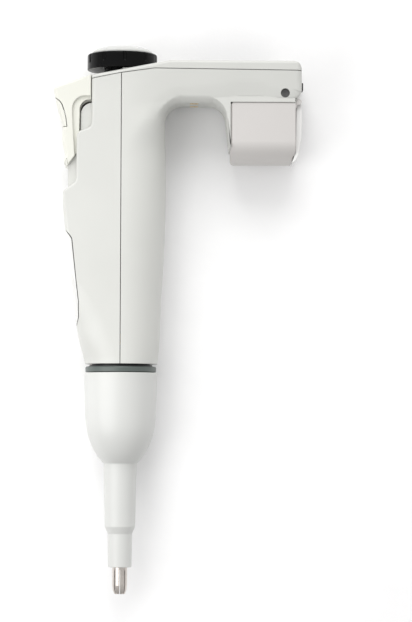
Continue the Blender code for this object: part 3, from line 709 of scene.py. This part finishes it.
def rear_housing():
    shell = body_pillow("rear_housing_shell")
    keep_inside(shell, rear_region())
    cut(shell, make_cavity("rear_cavity"), lower_bore("rear_bore"), ejector_channel())
    join(shell, rail("rail_left", -1), rail("rail_right", 1))
    cut(shell, prism("tongue_slot", box_outline(-20, 179.2, -14, 196.6), -2.9, 2.9))
    cut(shell, prism("rod_groove", box_outline(-14.0, 95, -9.0, 115), -1.7, 1.7))
    cut(shell, prism("inlay_recess", inlay_outline(GAP / 2), -FAR, FAR))
    place(shell, "handle", ["rear_housing"], LOOKS["shell"])


def rear_grip_inlay():
    inlay = body_pillow("rear_grip_strip")
    keep_inside(inlay, prism("inlay_region", inlay_outline(-GAP / 2), -FAR, FAR))
    place(inlay, "handle", ["rear_grip_inlay"], LOOKS["gloss"])


# ---------------------------------------------------------------- front housing with the arm


def front_region():
    points = [
        (GAP / 2, HOUSING_BOTTOM),
        (120, HOUSING_BOTTOM),
        (120, SEAM[3][1]),
        SEAM[3],
        SEAM[2],
        (GAP / 2, seam_y(0)),
    ]
    return prism("front_region", [Vector(p) for p in points], -FAR, FAR)


def rim_inset(point, inward, z):
    """Soft where the rim runs down beside the recess, crisp round the pack."""
    beside_pack = point.x > 47.2 or point.y > SADDLE_Y + 0.5
    if beside_pack:
        return point + inward * drawn_in(z, RIM_HALF, 0.16, 0.16)
    fin = ramp(point.x, 38, 46.4)
    if point.x < 37:
        inward = Vector((0, 1))
    beside_arm = drawn_in(z, HALF_DEPTH, RECESS_REACH, RECESS_DEPTH)
    return point + inward * mix(beside_arm, drawn_in(z, RIM_HALF, 0.8, 4.0), fin)


def pack_rim():
    corners = [
        (36, 217.0, 0),
        (36, SADDLE_Y, 0),
        (44.6, SADDLE_Y, 7.5),
        (46.5, 199.5, 12),
        (47.1, 194.3, 0),
        (PACK_LEFT - GAP, 194.3, 0),
        (PACK_LEFT - GAP, PACK_TOP + GAP, 0),
        (75.7, PACK_TOP + GAP, 0),
        (75.7, 217.0, 0),
    ]
    return pillow("pack_rim", rounded(corners), RIM_HALF, rim_inset, levels=24)


def screw_bore(name, side):
    head = prism(f"{name}_head", circle(*SCREW_XY, 1.95), *either_side(side, 12.4, 20))
    pilot = prism(f"{name}_pilot", circle(*SCREW_XY, 1.25), *either_side(side, 6, 13))
    join(head, pilot)
    return bake(head)


def front_housing():
    shell = body_pillow("front_housing_shell")
    join(shell, pack_rim())
    keep_inside(shell, front_region())
    cut(shell, make_cavity("front_cavity"), lower_bore("front_bore"))
    for name, side in (("left", -1), ("right", 1)):
        lug = [p for p in circle(*SCREW_XY, 3.3) if p.y > ARM_UNDERSIDE_Y + 0.8]
        join(shell, prism(f"boss_{name}", lug, *either_side(side, 8.0, CAVITY_HALF + 0.4)))
        cut(shell, screw_bore(f"bore_{name}", side))
    cut(shell, crossbar("port_hole", box_outline(220.6, -4.8, 224.4, 4.8, 1.2), 75, 80))
    for name, z in (("contact_hole_1", -5.5), ("contact_hole_2", 5.5)):
        cut(shell, slab(name, box_outline(29.7, z - 0.8, 33.7, z + 0.8), 213, 219))
    for name, z in (("terminal_hole_1", -5.0), ("terminal_hole_2", 5.0)):
        cut(shell, rod(name, 1.1, 213, 220, x=60, z=z))
    lean_arm_sides(shell)
    place(shell, "handle", ["front_housing"], LOOKS["shell"])


def arm_screws():
    """Dark case screws, each sunk deep in a side of the arm."""
    for name, side in (("arm_screw_1", -1), ("arm_screw_2", 1)):
        head = prism(f"{name}_head", circle(*SCREW_XY, 1.85), *either_side(side, 12.7, 13.3))
        shank = prism(f"{name}_shank", circle(*SCREW_XY, 1.0), *either_side(side, 7.0, 13.0))
        socket = prism(f"{name}_socket", circle(*SCREW_XY, 0.9, 6), *either_side(side, 12.9, 16))
        join(head, shank)
        cut(head, socket)
        place(head, "handle", [name], LOOKS["dark_steel"])


# ---------------------------------------------------------------- top cover


def along_top(x):
    """Height of the cover's top, which slopes down from the arm to the back of the head."""
    return mix(COVER_BACK_Y, COVER_TOP_Y, ramp(x, HEAD_BACK, COVER_SLOPE_END))


def cover_inset(point, inward, z):
    side = drawn_in(z, HALF_DEPTH, 1.6, 1.8)
    end = drawn_in(z, HALF_DEPTH, 2.0, 2.5)
    top = along_top(point.x)
    brow = drawn_in(z, HALF_DEPTH, min(1.3, 0.5 * (top - seam_y(point.x))), 1.4)
    x = min(max(point.x, HEAD_BACK + side), ARM_END - end)
    y = min(point.y, top - brow) if point.y > seam_y(point.x) + 1.0 else seam_y(x) + GAP
    return Vector((x, y))


def cover_outline():
    seam = [(x, seam_y(x) + GAP, 0) for x in (HEAD_BACK, 0.0, 14.3, ARM_END)]
    top = [
        (ARM_END, COVER_TOP_Y, 3.9),
        *[(x, COVER_TOP_Y, 0) for x in spread(72, 23, 8)],
        (COVER_SLOPE_END, COVER_TOP_Y, 6),
        (HEAD_BACK, COVER_BACK_Y, 0),
    ]
    return rounded(seam + top)


def cover_hollow():
    corners = [
        (-10.9, 220, 0),
        (76.2, 220, 0),
        (76.2, 230.7, 2),
        (18.6, 230.7, 0),
        (16.4, 227.6, 0),
        (5.0, 227.6, 0),
        (-10.9, 225.1, 0),
    ]
    return prism("cover_hollow", rounded(corners), -13.9, 13.9)


def top_cover():
    shell = pillow("top_cover_shell", cover_outline(), HALF_DEPTH, cover_inset)
    join(shell, slab("dial_floor", box_outline(0.5, -13.6, 17.0, 13.6), 227.6, 229.6))
    cut(shell, cover_hollow())
    cut(shell, rod("dial_pocket", 15.6, DIAL_FLOOR_Y, 240, segments=96))
    cut(shell, rod("hub_hole", 8.4, 220, 235))
    cut(shell, slab("window_step", box_outline(26.5, -12.0, 69.5, 12.0, 1.5), 231.2, 240))
    cut(shell, slab("window_hole", box_outline(29.0, -10.4, 67.0, 10.4, 1.0), 225, 240))
    place(shell, "handle", ["top_cover"], LOOKS["cover"])


# ---------------------------------------------------------------- button and ring


def ring_notches():
    """Round-bottomed grooves down the outside of the ring, open at its top edge."""
    turns = [2 * math.pi * k / 28 for k in range(28)]
    bm = bmesh.new()
    for i in range(NOTCH_COUNT):
        angle = math.radians(360 / NOTCH_COUNT * i + NOTCH_PHASE)
        cx, cz = NOTCH_CENTRE * math.cos(angle), NOTCH_CENTRE * math.sin(angle)
        levels = [
            (NOTCH_FOOT_Y + NOTCH_RADIUS * (1 - math.cos(a)), NOTCH_RADIUS * math.sin(a))
            for a in spread(0.15, math.pi / 2, 7)
        ]
        levels.append((RING_TOP_Y + 1.5, NOTCH_RADIUS))
        rings = [
            [bm.verts.new((cx + radius * math.cos(a), y, cz + radius * math.sin(a))) for a in turns]
            for y, radius in levels
        ]
        bridge(bm, rings[::-1])
    return add_object("ring_notches", bm)


def selector_ring():
    profile = [
        (5.0, 224.2),
        (8.0, 224.2),
        (8.0, 229.6),
        (15.1, 229.6),
        (RING_RADIUS, 229.8),
        (RING_RADIUS, 235.7),
        (15.24, 236.0),
        (15.08, 236.25),
        (14.85, 236.42),
        (14.55, RING_TOP_Y),
        (14.2, 236.46),
        (14.0, 236.3),
        (14.0, 230.4),
        (5.0, 230.4),
    ]
    ring = turned("selector_ring_body", profile, segments=120)
    cut(ring, ring_notches())
    place(ring, "selector", ["selector_ring"], LOOKS["black"])


def operating_button():
    angles = spread(math.radians(76), 0.0, 18)
    crown = [(BUTTON_RADIUS * math.sin(a), 236.1 + 4.2 * math.cos(a) ** 0.75) for a in angles]
    profile = [
        (0.0, 236.0),
        (11.9, 236.0),
        (11.9, 232.4),
        (BUTTON_RADIUS, 232.4),
        (BUTTON_RADIUS, 236.9),
        (BUTTON_RADIUS - 0.02, 237.2),
        *crown,
    ]
    cap = turned("button_cap_piece", profile, segments=96)
    place(cap, "button", ["operating_button"], LOOKS["button"], angle=40)


# ---------------------------------------------------------------- lower end


def ejector_sleeve():
    bell = (
        (57.7, 8.1),
        (60.6, 10.4),
        (64.9, 12.7),
        (69.0, 14.2),
        (72.8, 15.0),
        (77.8, 15.45),
        (86, 15.75),
        (96.3, 15.9),
    )
    outer = [
        (5.0, 11.7),
        (5.15, 11.85),
        (5.35, 26.1),
        (5.4, 26.3),
        (6.6, 29.2),
        (6.65, 29.5),
        (7.25, 56.6),
        (7.35, 57.0),
        *[(along(bell, y), y) for y in spread(57.7, 96.3, 40)],
        (15.75, 96.5),
    ]
    inner = [
        (14.3, 96.5),
        (14.0, 79.0),
        (11.2, 66.0),
        (9.0, 61.6),
        (5.3, 57.6),
        (5.2, 29.5),
        (3.75, 27.4),
        (3.7, 11.7),
    ]
    sleeve = turned("ejector_sleeve_body", outer + inner, segments=128)
    place(sleeve, "ejector", ["ejector_sleeve"], LOOKS["sleeve"], angle=25)


def colour_ring():
    angles = spread(-0.2, math.pi / 2, 10)
    lip = [(14.95 + 0.55 * math.cos(a), 98.45 + 0.75 * math.sin(a)) for a in angles]
    profile = [(14.2, 96.8), (15.3, 96.8), (15.45, 96.95), *lip, (14.2, 99.2)]
    band = turned("colour_ring_band", profile, segments=128)
    place(band, "ejector", ["colour_ring"], LOOKS["ring"])


def coupling_collar():
    profile = [
        (9.6, 87.5),
        (13.8, 87.5),
        (13.8, 99.7),
        (13.6, 99.9),
        (12.8, 99.9),
        (12.8, 108.5),
        (11.8, 108.5),
        (11.8, 99.0),
        (9.6, 99.0),
    ]
    collar = turned("coupling_collar_body", profile, segments=96)
    cut(collar, prism("collar_groove", box_outline(-20, 80, -10.5, 112), -1.6, 1.6))
    place(collar, "handle", ["coupling_collar"], LOOKS["collar"])


def nozzle():
    profile = [
        (1.3, 0.1),
        (1.4, 0.0),
        (2.2, 0.0),
        (2.35, 0.12),
        (3.0, 1.6),
        (3.2, 3.4),
        (3.25, 3.9),
        (3.25, 29.6),
        (2.4, 29.6),
        (2.4, 45.7),
        (0.8, 45.7),
        (0.8, 6.0),
        (1.3, 5.0),
    ]
    tube = turned("nozzle_tube", profile, segments=96)
    for i in range(SLIT_PAIRS):
        across = box_outline(-6, -SLIT_HALF, 6, SLIT_HALF)
        slit = slab(f"nozzle_slit_{i}", across, -1.0, SLIT_TOP_Y)
        turn_about_axis(slit, math.pi / SLIT_PAIRS * i)
        cut(tube, slit)
    place(tube, "handle", ["nozzle"], LOOKS["steel"])


def turn_about_axis(obj, angle):
    """Turns a tool about the nozzle axis by moving its vertices."""
    centre = Vector((DATUM.x, 0, DATUM.z)) * MM
    c, s = math.cos(angle), math.sin(angle)
    for vertex in obj.data.vertices:
        p = vertex.co - centre
        vertex.co = centre + Vector((p.x * c + p.z * s, p.y, -p.x * s + p.z * c))


# ---------------------------------------------------------------- tip ejector


def slider_outline():
    """Side view of the thumb lever, clockwise."""
    corners = [
        (-20.1, 190.6, 0),
        (-20.6, 198.0, 0),
        (-21.2, 208.0, 0),
        (-21.2, 216.6, 5.5),
        (-13.2, 216.6, 0),
        (-13.2, 226.0, 0),
        (-20.2, 224.3, 20),
        (-30.17, 220.7, 2),
        (-28.2, 212.0, 20),
        (-25.6, 203.6, 6),
        (-25.9, 197.5, 12),
        (-24.5, 191.0, 2),
        (-25.2, 189.4, 1),
        (-25.0, 187.4, 0.6),
        (-23.1, 186.5, 0.4),
    ]
    return rounded(corners)[::-1]


def slider_inset(point, inward, z):
    outer = point.x < -24 or (point.y > 219 and point.x < -15)
    reach, depth = (1.6, 5.0) if outer else (0.5, 0.7)
    return point + inward * drawn_in(z, SLIDER_HALF, reach, depth)


def slider_form(name):
    return pillow(name, slider_outline()[::-1], SLIDER_HALF, slider_inset, levels=20)


def thumb_outline(grow):
    corners = [
        (-33.0, 218.0 + grow, 0),
        (-33.0, 203.2 - grow, 0),
        (-23.6 + grow, 203.2 - grow, 0),
        (-24.2 + grow, 208.0, 8),
        (-26.0 + grow, 213.6 + grow, 6),
        (-29.4, 216.4 + grow, 0),
        (-31.0, 218.0 + grow, 0),
    ]
    return rounded(corners)


def rail_slot(name, side):
    lift = EJECT_TRAVEL + 0.4
    corners = [
        (-13.0, 180.0, 0),
        (-13.0, 213.9 + lift, 0),
        (-17.9, 213.9 + lift, 4.6),
        (-17.9, 200.0 + lift, 0),
        (RAIL_BACK - GAP, 198.5 + lift, 0),
        (RAIL_BACK - GAP, 180.0, 0),
    ]
    return prism(name, rounded(corners), *either_side(side, WEB_HALF, FLANGE_INNER))


def ejector_slider():
    slider = slider_form("ejector_lever")
    web = [
        (-24.0, 190.0, 0),
        (-17.8, 190.0, 0),
        (-17.8, 214.7, 4.3),
        (-13.2, 214.7, 0),
        (-13.2, 220.0, 0),
        (-24.0, 220.0, 0),
    ]
    lip = [
        (-22.5, 190.4, 0),
        (-18.6, 191.6, 3),
        (-18.2, 209.6, 0),
        (-18.2, 215.2, 4.4),
        (-13.2, 215.2, 0),
        (-13.2, 218.0, 0),
        (-22.5, 218.0, 0),
    ]
    web_end = box_outline(RAIL_BACK - GAP, 180.0, -17.0, 189.9)
    join(slider, prism("ejector_web", rounded(web), -WEB_HALF - 0.1, WEB_HALF + 0.1))
    cut(slider, prism("web_end", web_end, -WEB_HALF - 1, WEB_HALF + 1))
    cut(slider, rail_slot("slot_left", -1), rail_slot("slot_right", 1))
    for name, side in (("lip_left", -1), ("lip_right", 1)):
        join(slider, prism(name, rounded(lip), *either_side(side, FLANGE_INNER + 0.05, 13.5)))
    join(slider, prism("tongue", box_outline(-18.5, 190.0, -10.2, 196.0), -2.5, 2.5))
    cut(slider, rod("tongue_hole", 1.35, 180, 195.8, x=ROD_X))
    cut(slider, prism("thumb_recess", thumb_outline(GAP / 2), -FAR, FAR))
    place(slider, "ejector", ["ejector_slider"], LOOKS["cream"])


def ejector_thumb_pad():
    pad = slider_form("ejector_thumb_insert")
    keep_inside(pad, prism("thumb_region", thumb_outline(-GAP / 2), -FAR, FAR))
    place(pad, "ejector", ["ejector_thumb_pad"], LOOKS["cream"])


# ---------------------------------------------------------------- battery pack and latch


def pack_outline():
    corners = [
        (PACK_LEFT - PACK_SNUG, PACK_BOTTOM, 2.0),
        *[(x, PACK_BOTTOM, 0) for x in spread(51, 72, 8)],
        (74.0, PACK_BOTTOM, 1.5),
        (PACK_RIGHT, 192.5, 6.0),
        *[(PACK_RIGHT, y, 0) for y in spread(195, 211, 6)],
        (PACK_RIGHT, PACK_TOP + PACK_SNUG, 0),
        (PACK_LEFT - PACK_SNUG, PACK_TOP + PACK_SNUG, 1.5),
    ]
    return rounded(corners)


def pack_inset(point, inward, z):
    side = drawn_in(z, PACK_HALF, 1.6, 1.0)
    under = drawn_in(z, PACK_HALF, 9.5, 12.8)
    brow = drawn_in(z, PACK_HALF, 0.3, 0.35)
    x = max(point.x, PACK_LEFT - PACK_SNUG + side)
    y = min(max(point.y, PACK_BOTTOM + under), PACK_TOP + PACK_SNUG - brow)
    return Vector((x, y))


def latch_ear(name, side):
    x, y = LATCH_PIVOT
    angles = spread(-0.6 * math.pi, 0.75 * math.pi, 24)
    eye = [(x + 1.25 * math.cos(a), y + 1.25 * math.sin(a), 0) for a in angles]
    neck = [(PACK_RIGHT + 0.1, PACK_TOP - 0.3, 0), (PACK_RIGHT - 1.1, PACK_TOP - 1.5, 0)]
    outline = rounded([*eye, *neck, (PACK_RIGHT - 1.1, 209.4, 0)])
    return prism(name, outline, *either_side(side, 10.6, 12.05))


def battery_pack():
    casing = pillow("battery_pack_casing", pack_outline(), PACK_HALF, pack_inset, levels=24)
    cut(casing, prism("cell_bay", box_outline(50.2, 191.0, 73.6, 211.8, 1.0), -9.6, 9.6))
    join(casing, latch_ear("ear_left", -1), latch_ear("ear_right", 1))
    cut(casing, prism("latch_pin_hole", circle(*LATCH_PIVOT, 0.7, 24), -11.6, 11.6))
    cut(casing, slab("pack_mouth", box_outline(57.0, -7.5, 63.0, 7.5), 210, 216))
    place(casing, "pack", ["battery_pack"], LOOKS["pack"])


def pack_latch():
    x, y = LATCH_PIVOT
    knuckle = [(x + math.cos(a), y + math.sin(a), 0) for a in spread(0, math.pi, 24)]
    corners = [
        (PACK_RIGHT + 0.06, 192.6, 6.0),
        (74.5, 188.3, 0),
        (75.2, 188.4, 0.3),
        (76.9, 190.6, 3.0),
        (78.3, 197.0, 12.0),
        (78.8, 206.0, 20.0),
        (78.5, 212.6, 3.0),
        *knuckle,
    ]
    flap = soft_prism("pack_latch_flap", rounded(corners), LATCH_HALF, 0.25)
    cut(flap, prism("latch_bore", circle(x, y, 0.65, 24), -12, 12))
    place(flap, "latch", ["pack_latch"], LOOKS["latch"])


# ---------------------------------------------------------------- pieces that keep their CAD shape

KEPT = {
    "display_window": "glass",
    "display_module": "black",
    "main_board": "board",
    "encoder_ring": "inner",
    "button_plunger": "inner",
    "button_spring": "plate",
    "button_switch": "black",
    "motor": "plate",
    "motor_bracket": "plate",
    "lead_screw": "steel",
    "guide_rod_1": "steel",
    "guide_rod_2": "steel",
    "piston_carriage": "brass",
    "piston": "steel",
    "cylinder": "inner",
    "piston_seal": "rubber",
    "seal_retainer": "inner",
    "ejector_rod": "steel",
    "ejector_spring": "plate",
    "sleeve_carrier": "plate",
    "battery_cell": "cell",
    "pack_contact_1": "gold",
    "pack_contact_2": "gold",
    "battery_terminal_1": "gold",
    "battery_terminal_2": "gold",
    "latch_pin": "steel",
    "charging_contact_1": "gold",
    "charging_contact_2": "gold",
    "charging_socket": "plate",
    "port_plug": "rubber",
}
# Each spring's node, the joint that presses it, its fixed end in Y, and the share of its length left.
SPRINGS = (
    ("ejector_spring", "ejector_slide", 165.9, 0.6),
    ("button_spring", "button_press", 230.7, 0.72),
)


def dress_kept_nodes():
    for name, look in KEPT.items():
        node = NODES[name]
        node.data.materials.clear()
        node.data.materials.append(LOOKS[look])


def press_springs():
    """Gives each of the two springs its own copy of its mesh."""
    for name, joint, foot, keep in SPRINGS:
        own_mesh(NODES[name])


# ---------------------------------------------------------------- table, light and camera


CAMERA_TURN = (2.539, -0.596, 0.221)
FOCAL_LENGTH = 157.1
ROOM_STRENGTH = (0.45, 0.99)  # of the white room, from the nozzle's side to the head's


def make_floor():
    """White paper, out past the edges of the picture."""
    bm = bmesh.new()
    bmesh.ops.create_grid(bm, x_segments=4, y_segments=4, size=3.0)
    mesh = bpy.data.meshes.new("table_top")
    bm.to_mesh(mesh)
    bm.free()
    floor = bpy.data.objects.new("table_top", mesh)
    bpy.context.scene.collection.objects.link(floor)
    look = Look("table_paper", (0.9, 0.9, 0.9), 0.9)
    look.set("Specular IOR Level", 0.1)
    look.tint(look.band(look.noise(60, 3), 0, 1), (0.89, 0.887, 0.887), (0.91, 0.907, 0.907))
    look.relief(look.noise(700, 3), 0.12, 0.0003, 0)
    look.set("Emission Color", (1, 1, 1, 1))
    look.set("Emission Strength", 0.03)
    mesh.materials.append(look.made)


def row_point(x, y, z):
    """Datum millimetres to the row frame's metres."""
    return (Vector((x, y, z)) + DATUM) * MM


def area_light(name, at, aim, size, power):
    data = bpy.data.lights.new(name, "AREA")
    data.shape = "DISK"
    data.size = size
    data.energy = power
    lamp = bpy.data.objects.new(name, data)
    lamp.location = at
    lamp.rotation_mode = "QUATERNION"
    lamp.rotation_quaternion = (Vector(aim) - Vector(at)).to_track_quat("-Z", "Y")
    bpy.context.scene.collection.objects.link(lamp)


def make_light():
    """A small softbox low on the left, a far one beyond the head, and a white room brighter that way."""
    area_light("key_softbox", row_point(-160, 95, 190), row_point(0, 120, 0), 0.26, 0.37)
    area_light("head_fill", row_point(0, 1150, 800), row_point(20, 140, 0), 0.9, 8.4)
    world = bpy.data.worlds.new("studio")
    world.use_nodes = True
    background = world.node_tree.nodes["Background"]
    background.inputs["Color"].default_value = (1, 1, 1, 1)
    tree = world.node_tree
    direction = tree.nodes.new("ShaderNodeTexCoord").outputs["Generated"]
    split = tree.nodes.new("ShaderNodeSeparateXYZ")
    tree.links.new(direction, split.inputs[0])
    sweep = tree.nodes.new("ShaderNodeMapRange")
    for i, value in enumerate((-1.0, 1.0, *ROOM_STRENGTH), start=1):
        sweep.inputs[i].default_value = value
    tree.links.new(split.outputs["Y"], sweep.inputs[0])
    tree.links.new(sweep.outputs[0], background.inputs["Strength"])
    bpy.context.scene.world = world


def make_camera():
    """Looks down from 1.19 m above the nozzle axis, leaning a little towards the head."""
    data = bpy.data.cameras.new("camera")
    camera = bpy.data.objects.new("camera", data)
    bpy.context.scene.collection.objects.link(camera)
    camera.location = row_point(25.1, 71.0, 1190)
    camera.rotation_euler = [math.radians(a) for a in CAMERA_TURN]
    data.sensor_width = 36
    data.lens = FOCAL_LENGTH
    data.clip_end = 10
    bpy.context.scene.camera = camera


def main():
    make_camera()
    make_light()
    make_floor()
    rear_housing()
    rear_grip_inlay()
    front_housing()
    top_cover()
    selector_ring()
    operating_button()
    ejector_sleeve()
    colour_ring()
    coupling_collar()
    nozzle()
    ejector_slider()
    ejector_thumb_pad()
    battery_pack()
    pack_latch()
    arm_screws()
    dress_kept_nodes()
    press_springs()
    scene = bpy.context.scene
    scene.view_settings.view_transform = "Standard"
    scene.view_settings.look = "None"


main()
